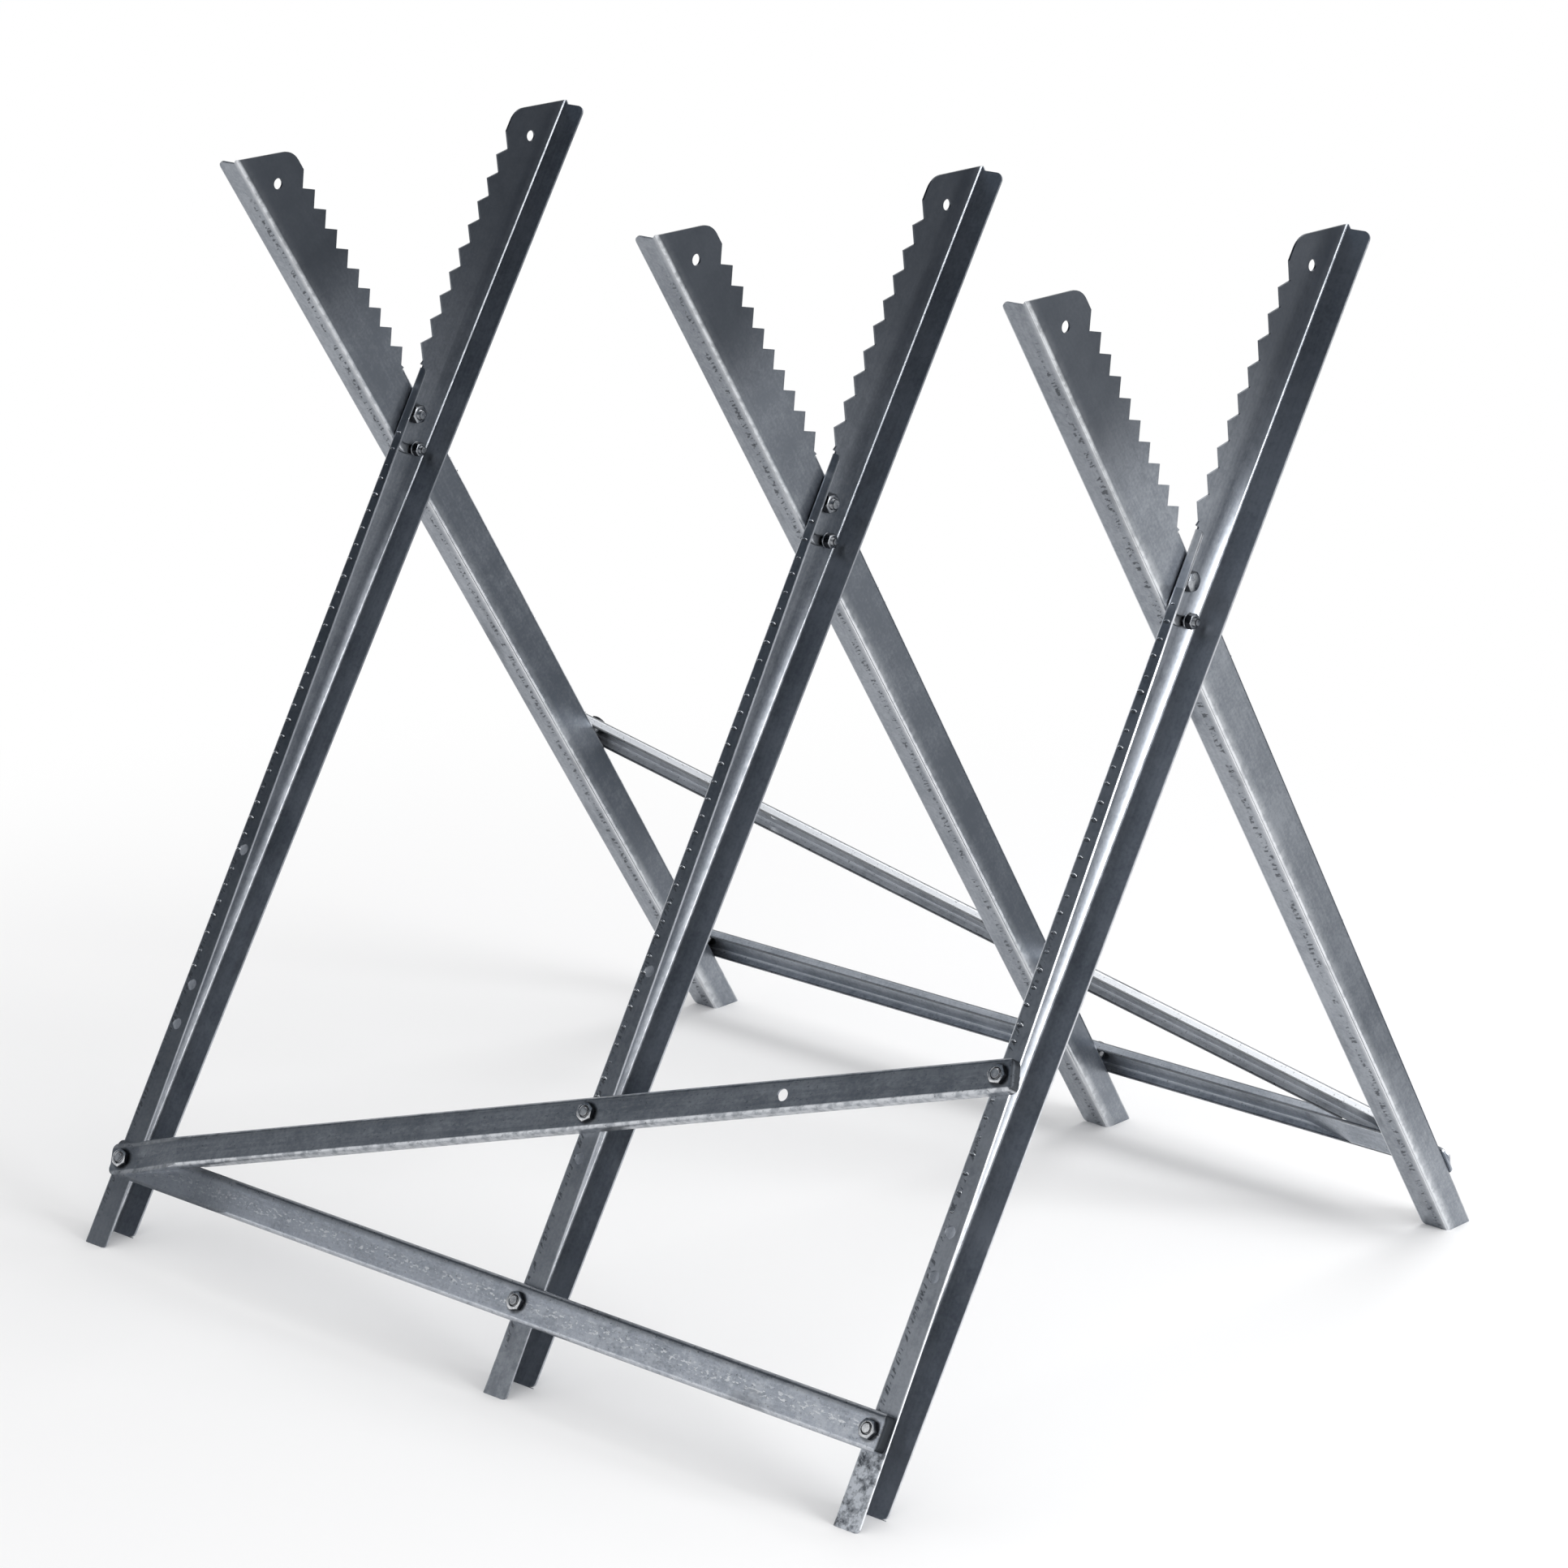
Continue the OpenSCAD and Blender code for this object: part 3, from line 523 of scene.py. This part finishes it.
# hexagons: a 30 degree chamfer down to the wash face, and a countersunk bore; grime and painted shade from the seat
# to the top, darkest on the flanks and in the bore
hexShape = {"steps": 60, "chamfer": math.tan(math.radians(30)), "washFace": 0.95, "rim": 0.35 * mm,
            "topRim": 0.70 * mm, "soft": 0.15 * mm, "grimeAndShade": (1.0, 1.0, 1.0, 1.0, 0.75, 0.05, 0.10, 1.0)}


def hexReach(angle, flats):                                         # centre to side, with flats to +X and -X
    return flats / 2 / math.cos((angle + math.pi / 6) % (math.pi / 3) - math.pi / 6)


def hexRings(flats, height, bore, topOnly=False):
    rings, k = [], hexShape
    seat = flats / 2 * k["washFace"]

    def side(a):
        return hexReach(a, flats)

    def drop(a):
        return max(0.0, side(a) - seat) * k["chamfer"]

    def ring(reach, level):
        reach = reach if callable(reach) else lambda a, r=reach: r
        level = level if callable(level) else lambda a, h=level: h
        rings.append([(reach(a) * math.cos(a), reach(a) * math.sin(a), level(a)) for a in angles(k["steps"])])
    if bore:
        ring(bore / 2, k["rim"])
        ring(bore / 2 + k["rim"], 0.0)
    if topOnly:
        ring(lambda a: side(a) - k["soft"], 0.0)
        ring(side, k["soft"])
    else:
        ring(seat, 0.0)
        ring(side, drop)
    ring(side, lambda a: height - drop(a))
    ring(seat, height)
    if bore:
        ring(bore / 2 + k["topRim"], height)
        ring(bore / 2, height - k["topRim"])
    return rings


def nutShape(name, flats, height, bore):
    bm = bmesh.new()
    ringSkin(bm, hexRings(flats, height, bore), True, hexShape["grimeAndShade"])
    return meshObject(name, bm)


thread = {"perPitch": 8, "depth": 0.55 * mm, "tip": 0.9 * mm, "fillet": 0.2 * mm, "inNut": 0.1 * mm,
          "headGrimeAndShade": (0.25, 0.7, 1.0, 1.0, 1.0, 0.6, 0.6),        # face, edge and flanks of the head, plain shank
          "turnGrimeAndShade": 0.35, "tipGrimeAndShade": 0.75, "endGrimeAndShade": 0.05}


def boltShape(name, sizes, shank):
    # head below Z = 0, plain shank, then a thread up to the chamfered tip
    plain, pitch, threaded = sizes["diameter"] / 2, sizes["pitch"], shank * sizes["threaded"]
    start = shank - threaded
    rings = [[(p[0], p[1], -p[2]) for p in ring] for ring in hexRings(sizes["flats"], sizes["head"], 0.0, True)][::-1]

    def ring(radius, level):
        rings.append([(radius(a) * math.cos(a), radius(a) * math.sin(a), level) for a in angles(hexShape["steps"])])
    ring(lambda a: plain + thread["fillet"], 0.0)
    ring(lambda a: plain, thread["fillet"])
    ring(lambda a: plain, start)
    grimeAndShade = list(thread["headGrimeAndShade"])
    count = int(threaded / pitch * thread["perPitch"])
    for i in range(1, count + 1):
        level = start + threaded * i / count
        cut = thread["depth"] * min(1.0, (level - start) / pitch)   # the thread runs in over one turn
        limit = plain - max(0.0, level - (shank - thread["tip"]))   # chamfer of the tip

        def radius(a):
            wave = abs(((level / pitch - a / (2 * math.pi)) % 1.0) * 2 - 1)
            return min(limit, plain - cut * wave)
        ring(radius, level)
        grimeAndShade.append(thread["turnGrimeAndShade"] if limit == plain else thread["tipGrimeAndShade"])
    grimeAndShade[-1] = thread["endGrimeAndShade"]
    bm = bmesh.new()
    rows = ringSkin(bm, rings, False, grimeAndShade)
    bm.faces.new(rows[0])
    bm.faces.new(rows[-1])
    return meshObject(name, bm)


washers = {"outer": 11.5 * mm, "height": 1.2 * mm, "soft": 0.25 * mm, "steps": 48, "over": 0.1 * mm}


def washerShape(name, bore):
    bm = bmesh.new()
    outer, height, soft = washers["outer"] / 2, washers["height"], washers["soft"]
    profile = [(bore / 2, 0), (outer - soft, 0), (outer, soft), (outer, height - soft), (outer - soft, height),
               (bore / 2, height)]
    around = angles(washers["steps"])
    ringSkin(bm, [[(r * math.cos(a), r * math.sin(a), h) for a in around] for r, h in profile], True)
    return meshObject(name, bm)


def treeNode(tree, kind, settings=None, links=None):
    node = tree.nodes.new(kind)
    for key, value in (settings or {}).items():
        setattr(node, key, value)
    for key, value in (links or {}).items():
        if isinstance(value, bpy.types.NodeSocket):
            tree.links.new(value, node.inputs[key])
        else:
            node.inputs[key].default_value = value
    return node


def openTree(name, **extra):                                        # a tree's sockets and its input node
    tree = bpy.data.node_groups.new(name, "GeometryNodeTree")
    for label, kind in dict(Geometry="Geometry", Shape="Object", Finish="Material", **extra).items():
        tree.interface.new_socket(label, in_out="INPUT", socket_type="NodeSocket" + kind)
    tree.interface.new_socket("Geometry", in_out="OUTPUT", socket_type="NodeSocketGeometry")
    return tree, treeNode(tree, "NodeGroupInput").outputs


def closeTree(tree, start, points, links):                          # a shape on every point, turned by its own angles
    shape = treeNode(tree, "GeometryNodeObjectInfo", {"transform_space": "ORIGINAL"}, {"Object": start["Shape"]})
    turn = treeNode(tree, "GeometryNodeInputNamedAttribute", {"data_type": "FLOAT_VECTOR"}, {"Name": "turn"})
    rotation = treeNode(tree, "FunctionNodeEulerToRotation", None, {"Euler": turn.outputs["Attribute"]})
    placed = treeNode(tree, "GeometryNodeInstanceOnPoints", None, dict(links, **{
        "Points": points.outputs[0], "Instance": shape.outputs["Geometry"], "Rotation": rotation.outputs[0]}))
    real = treeNode(tree, "GeometryNodeRealizeInstances", None, {"Geometry": placed.outputs[0]})
    coat = treeNode(tree, "GeometryNodeSetMaterial", None, {"Geometry": real.outputs[0], "Material": start["Finish"]})
    treeNode(tree, "NodeGroupOutput", None, {0: coat.outputs[0]})
    return tree


def placingTree():
    tree, start = openTree("standOnPoints")
    points = treeNode(tree, "GeometryNodeMeshToPoints", None, {"Mesh": start["Geometry"]})
    return closeTree(tree, start, points, {})


def rowTree(smallest, largest):                                     # a shape at a pitch along every edge
    tree, start = openTree("pressedRow", Pitch="Float", Wander="Vector", Seed="Int")
    line = treeNode(tree, "GeometryNodeMeshToCurve", None, {"Mesh": start["Geometry"]})
    dots = treeNode(tree, "GeometryNodeCurveToPoints", {"mode": "LENGTH"},
                    {"Curve": line.outputs[0], "Length": start["Pitch"]})
    less = treeNode(tree, "ShaderNodeVectorMath", {"operation": "SCALE"}, {0: start["Wander"], "Scale": -1.0})
    drift = treeNode(tree, "FunctionNodeRandomValue", {"data_type": "FLOAT_VECTOR"},
                     {0: less.outputs[0], 1: start["Wander"], "Seed": start["Seed"]})
    moved = treeNode(tree, "GeometryNodeSetPosition", None, {"Geometry": dots.outputs[0], "Offset": drift.outputs[0]})
    size = treeNode(tree, "FunctionNodeRandomValue", {"data_type": "FLOAT"},
                    {2: smallest, 3: largest, "Seed": start["Seed"]})
    return closeTree(tree, start, moved, {"Scale": size.outputs[1]})


def grow(name, tree, points, edges, turns, **inputs):               # runs a tree on points and keeps a plain mesh
    mesh = bpy.data.meshes.new(name + "Points")
    mesh.from_pydata(points, edges, [])
    layer = mesh.attributes.new("turn", "FLOAT_VECTOR", "POINT")
    for item, turn in zip(layer.data, turns):
        item.vector = turn
    seedObject = bpy.data.objects.new(name + "Points", mesh)
    scene.collection.objects.link(seedObject)
    modifier = seedObject.modifiers.new("grow", "NODES")
    modifier.node_group = tree
    for item in tree.interface.items_tree:
        if item.in_out == "INPUT" and item.name in inputs:
            modifier[item.identifier] = inputs[item.name]
    bpy.context.view_layer.update()
    evaluated = seedObject.evaluated_get(bpy.context.evaluated_depsgraph_get())
    result = bpy.data.meshes.new_from_object(evaluated)
    result.name = name
    obj = bpy.data.objects.new(name, result)
    scene.collection.objects.link(obj)
    seedObject.modifiers.clear()
    bpy.data.objects.remove(seedObject)
    return obj


smoothBelow = math.radians(35)


def settle(obj, body, slotName, *nodes):
    obj.data.polygons.foreach_set("use_smooth", [True] * len(obj.data.polygons))
    obj.data.set_sharp_from_angle(angle=smoothBelow)
    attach(obj, body)
    if nodes:
        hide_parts(*nodes)


standOnPoints = placingTree()
shapes = []                                                         # single shapes, removed when all are placed


def stood(name, shape, material, matrices):                         # the shape at every matrix, as one mesh
    if shape not in shapes:
        shapes.append(shape)
    points, turns = [tuple(m.translation) for m in matrices], [tuple(m.to_euler("XYZ")) for m in matrices]
    return grow(name, standOnPoints, points, [], turns, Shape=shape, Finish=material)


def placeShape(name, shape, material, matrices, body, *nodes):
    settle(stood(name, shape, material, matrices), body, "zinc_hardware", *nodes)


def shift(x, y, z):
    return Matrix.Translation((x, y, z))


# brace bolts and nuts; the nuts stand as they were tightened
braceHardware = {"flats": 13.0 * mm, "diameter": 8.0 * mm, "head": 5.3 * mm, "nut": 4.0 * mm, "proud": 0.8 * mm,
                 "pitch": 1.25 * mm, "threaded": 0.8, "twists": (12, 47, 25, 5, 38)}


def bracePlaces(bay):
    lift, stack, climb = stand["braceDepth"], 2 * stand["sheet"], math.tan(diagonal)
    low = [(0, 0, stack), (bay, 0, lift), (standLength, 0, lift)]
    return low + [(bay, bay * climb, lift), (standLength, standLength * climb, lift)]


thinNut = nutShape("thinNutShape", braceHardware["flats"], braceHardware["nut"],
                   braceHardware["diameter"] - thread["inNut"])
for frameName, setup in frames.items():
    seat, places = setup["turn"] @ frontSeat, bracePlaces(setup["bay"])
    nuts = [seat @ shift(*p) @ Matrix.Rotation(math.radians(t), 4, "Z")
            for p, t in zip(places, braceHardware["twists"])]
    placeShape(frameName + "BraceNuts", thinNut, brightZinc, nuts, frameName + "_frame", frameName + "_brace_nuts")
    groups = {}
    for p in places:
        groups.setdefault(p[2], []).append(seat @ shift(p[0], p[1], -stand["sheet"]))
    bm = bmesh.new()
    for lift, matrices in groups.items():
        shank = stand["sheet"] + lift + braceHardware["nut"] + braceHardware["proud"]
        bolt = boltShape("braceBoltShape", braceHardware, shank)
        part = stood("boltGroup", bolt, brightZinc, matrices)
        bm.from_mesh(part.data)
        bpy.data.objects.remove(part)
    bolts = meshObject(frameName + "BraceBolts", bm, brightZinc)
    settle(bolts, frameName + "_frame", "zinc_hardware", frameName + "_brace_bolts")
print("brace hardware done")

# pivot bolts and nuts, the right one the other way round; the front web has a little play
pivotHardware = {"flats": 13.0 * mm, "diameter": 8.0 * mm, "head": 5.3 * mm, "nut": 6.5 * mm, "proud": 3.0 * mm,
                 "pitch": 1.25 * mm, "threaded": 0.7, "webOut": 1.7 * mm, "play": 0.1 * mm,
                 "ways": {"left": 1, "middle": 1, "right": -1}}
webNear, webFar = pivotHardware["webOut"], pivotHardware["webOut"] + pivotHardware["play"]
boltPlaces, nutPlaces = [], []
for trestle, way in pivotHardware["ways"].items():
    stem = shift(stand["trestles"][trestle], 0, stand["pivotHeight"]) @ Matrix.Rotation(way * math.pi / 2, 4, "Y")
    underHead, underNut = (webNear, webFar) if way > 0 else (webFar, webNear)
    boltPlaces.append(stem @ shift(0, 0, -underHead))
    nutPlaces.append(stem @ shift(0, 0, underNut))
pivotShank = webNear + webFar + pivotHardware["nut"] + pivotHardware["proud"]
pivotBolt = boltShape("pivotBoltShape", pivotHardware, pivotShank)
pivotNut = nutShape("pivotNutShape", pivotHardware["flats"], pivotHardware["nut"],
                    pivotHardware["diameter"] - thread["inNut"])
placeShape("pivotBolts", pivotBolt, paintedDarkZinc, boltPlaces, "rear_frame",
           *["pivot_bolt_" + t for t in stand["trestles"]])
placeShape("pivotNuts", pivotNut, paintedDarkZinc, nutPlaces, "rear_frame",
           *["pivot_nut_" + t for t in stand["trestles"]])

# stop bolts, nuts and washers
stopHardware = {"flats": 10.0 * mm, "diameter": 6.0 * mm, "head": 4.0 * mm, "nut": 5.0 * mm, "proud": 3.0 * mm,
                "pitch": 1.0 * mm, "threaded": 0.7}
washerOut = webFar + washers["height"]
stopStems = [shift(x, 0, stand["pivotHeight"] - stand["stopReach"]) @ Matrix.Rotation(math.pi / 2, 4, "Y")
             for x in stand["trestles"].values()]
stopBolt = boltShape("stopBoltShape", stopHardware, 2 * washerOut + stopHardware["nut"] + stopHardware["proud"])
stopNut = nutShape("stopNutShape", stopHardware["flats"], stopHardware["nut"],
                   stopHardware["diameter"] - thread["inNut"])
washer = washerShape("washerShape", stopHardware["diameter"] + washers["over"])


def onStems(*levels):
    return [stem @ shift(0, 0, level) for stem in stopStems for level in levels]


placeShape("stopBolts", stopBolt, paintedDarkZinc, onStems(-washerOut), "stop_set",
           *["stop_bolt_" + t for t in stand["trestles"]])
placeShape("stopNuts", stopNut, paintedDarkZinc, onStems(washerOut), "stop_set",
           *["stop_nut_" + t for t in stand["trestles"]])
placeShape("stopWashers", washer, paintedDarkZinc, onStems(-washerOut, webFar), "stop_set", "stop_washers")
print("pivot and stop hardware done")

# row of small pressed lips beside each tooth-side fold, with a painted highlight on top and painted shade below
pips = {"pitch": 13.0 * mm, "fromTop": -0.020, "toFoot": -0.460, "inset": 5.4 * mm, "width": 5.6 * mm,
        "height": 3.2 * mm, "proud": 1.1 * mm, "wander": (0.35 * mm, 0.0, 1.6 * mm), "seed": 7,
        "sizes": (0.75, 1.1), "steps": 12,
        # spread, lift and shift up of each ring
        "rings": ((1.0, -0.15, 0.0), (0.86, 0.40, 0.10), (0.55, 0.86, 0.22), (0.2, 1.0, 0.30)),
        "top": rgb(0.86, 0.88, 0.90), "facing": (-0.30, 0.10), "mottle": (700.0, 3.0), "mottleShown": (0.55, 0.75),
        "mottled": 0.4, "roughness": (legSteel["roughness"]["base"] - 0.12, 0.15), "bump": 0.2, "reach": 0.2 * mm}


def pipShape():
    bm = bmesh.new()
    wide, high, rows = pips["width"] / 2, pips["height"] / 2, []
    for spread, lift, rise in pips["rings"]:
        rows.append([(spread * math.cos(a) * wide, -lift * pips["proud"], (spread * math.sin(a) + rise) * high)
                     for a in angles(pips["steps"])])
    skin = ringSkin(bm, rows, False)
    bm.faces.new(skin[-1])
    bm.faces.new(skin[0])
    return meshObject("pipShape", bm)


def pipFinish():
    f, k = Finish("pressedLip"), pips
    nx, ny, nz = f.split(f.add("TexCoord", out="Normal"))
    facing = nz * cosLean + abs(ny) * -sinLean                      # up the leg on both frames
    mottle = f.noise(f.place(), *k["mottle"])
    # painted highlight on the upward faces, painted shade on the downward ones
    colour = f.blend(f.ease(facing, *k["facing"]), legSteel["scuffAndShade"], k["top"])
    colour = f.blend(f.ease(mottle, *k["mottleShown"]) * k["mottled"], colour, legSteel["dark"])
    return f.metal(colour, k["roughness"][0] + mottle * k["roughness"][1], mottle, k["bump"], k["reach"])


pressedRow, pipMaterial, pip = rowTree(*pips["sizes"]), pipFinish(), pipShape()
shapes.append(pip)
for frameName, setup in frames.items():
    points, edges, turns = [], [], []
    for x in stand["trestles"].values():
        base = shift(x, 0, 0) @ setup["turn"] @ frontFold
        for reach in (pips["fromTop"], pips["toFoot"]):
            points.append(tuple(base @ Vector((pips["inset"], 0, reach))))
            turns.append(tuple(base.to_euler("XYZ")))
        edges.append((len(points) - 2, len(points) - 1))
    row = grow(frameName + "FoldPips", pressedRow, points, edges, turns, Shape=pip, Pitch=pips["pitch"],
               Wander=pips["wander"], Seed=pips["seed"], Finish=pipMaterial)
    settle(row, frameName + "_frame", "leg_steel")
for shape in shapes:
    bpy.data.objects.remove(shape)
print("pressed pips done")

# pale floor that fades into the white background
studio = {"floor": 9.0, "pale": rgb(0.90, 0.90, 0.905), "white": rgb(1, 1, 1), "fade": (0.55, 1.5),
          "sky": 0.75, "skySeen": 0.25, "card": rgb(0.075, 0.092, 0.115)}


def flatObject(name, corners, material):
    bm = bmesh.new()
    bm.faces.new([bm.verts.new(corner) for corner in corners])
    return meshObject(name, bm, material)


def seenRays(tree):                                                 # rays from the camera or off a mirror
    path = tree.nodes.new("ShaderNodeLightPath").outputs
    seen = [Wire(tree, path["Is %s Ray" % kind]) for kind in ("Camera", "Glossy", "Transmission")]
    return seen[0].most(seen[1]).most(seen[2])


def floorFinish():
    f = Finish("paleFloor")
    x, y, z = f.split(f.place())
    far = f.ease((x * x + y * y).root(), *studio["fade"])
    matt = f.add("BsdfDiffuse", None, {"Color": studio["pale"]})
    glow = f.add("Emission", None, {"Color": studio["white"], "Strength": 1.0})
    return f.surface(f.add("MixShader", None, {0: seenRays(f.tree) * far, 1: matt, 2: glow}))


def cardFinish():
    f = Finish("darkCard")
    return f.surface(f.add("BsdfDiffuse", None, {"Color": studio["card"]}))


corners = [(sx * studio["floor"], sy * studio["floor"], 0) for sx, sy in ((-1, -1), (1, -1), (1, 1), (-1, 1))]
floor = flatObject("floor", corners, floorFinish())

world = bpy.data.worlds.new("studio")
scene.world = world
world.use_nodes = True
tree = world.node_tree
tree.nodes.clear()
sky = tree.nodes.new("ShaderNodeBackground")
sky.inputs["Color"].default_value = studio["white"]
plug(tree, sky.inputs["Strength"], seenRays(tree) * studio["skySeen"] + studio["sky"])
tree.links.new(sky.outputs[0], tree.nodes.new("ShaderNodeOutputWorld").inputs["Surface"])

lamps = {
    "key": {"place": (3.0, 0.3, 1.3), "aim": (0.0, 0.0, 0.5), "size": 1.7, "power": 62.0},
    "top": {"place": (-0.2, 1.6, 3.0), "aim": (0.0, 0.0, 0.4), "size": 1.8, "power": 24.0},
}
for name, lamp in lamps.items():
    data = bpy.data.lights.new(name, "AREA")
    data.shape, data.size, data.energy = "DISK", lamp["size"], lamp["power"]
    obj = bpy.data.objects.new(name, data)
    obj.location = lamp["place"]
    obj.rotation_euler = (Vector(lamp["aim"]) - Vector(lamp["place"])).to_track_quat("-Z", "Y").to_euler()
    obj.visible_camera = False
    scene.collection.objects.link(obj)

# dark cards that the sheet steel mirrors, out of the picture
cards = {
    "leftCard": [(-0.05, -1.50, 1.30), (-3.2, -1.85, 0.03), (-3.6, 0.7, 2.3), (0.10, -0.30, 3.2)],
    "rightCard": [(-0.10, -1.50, 0.75), (0.10, -0.30, 3.2), (2.4, -0.55, 2.2), (2.0, -1.9, 0.85)],
    "backCard": [(-0.1, 1.75, 0.0), (1.25, 1.25, 0.0), (1.25, 1.25, 1.0), (-0.1, 1.75, 1.0)],
    "floorCard": [(-0.3, 0.55, 0.003), (0.85, 0.55, 0.003), (0.95, 1.5, 0.003), (-0.3, 1.5, 0.003)],
}
cardMaterial = cardFinish()
for name, corners in cards.items():
    card = flatObject(name, corners, cardMaterial)
    card.visible_camera, card.visible_shadow, card.visible_diffuse = False, False, False

view = {"place": (2.5853, -2.8230, 1.5341), "azimuth": math.radians(42.41), "elevation": math.radians(17.12),
        "roll": math.radians(0.29), "sensor": 36.0, "lens": 6663.0 / 1932.0, "farEnd": 60.0}   # lens in sensor widths
camera = bpy.data.objects.new("camera", bpy.data.cameras.new("camera"))
camera.data.sensor_width, camera.data.lens = view["sensor"], view["lens"] * view["sensor"]
camera.data.clip_end = view["farEnd"]
camera.location = view["place"]
level = math.cos(view["elevation"])
back = Vector((math.sin(view["azimuth"]) * level, -math.cos(view["azimuth"]) * level, math.sin(view["elevation"])))
aim = (-back).to_track_quat("-Z", "Y").to_matrix()
camera.rotation_euler = (aim @ Matrix.Rotation(-view["roll"], 3, "Z")).to_euler()
scene.collection.objects.link(camera)
scene.camera = camera
scene.view_settings.view_transform = "Standard"
print("studio and camera done")
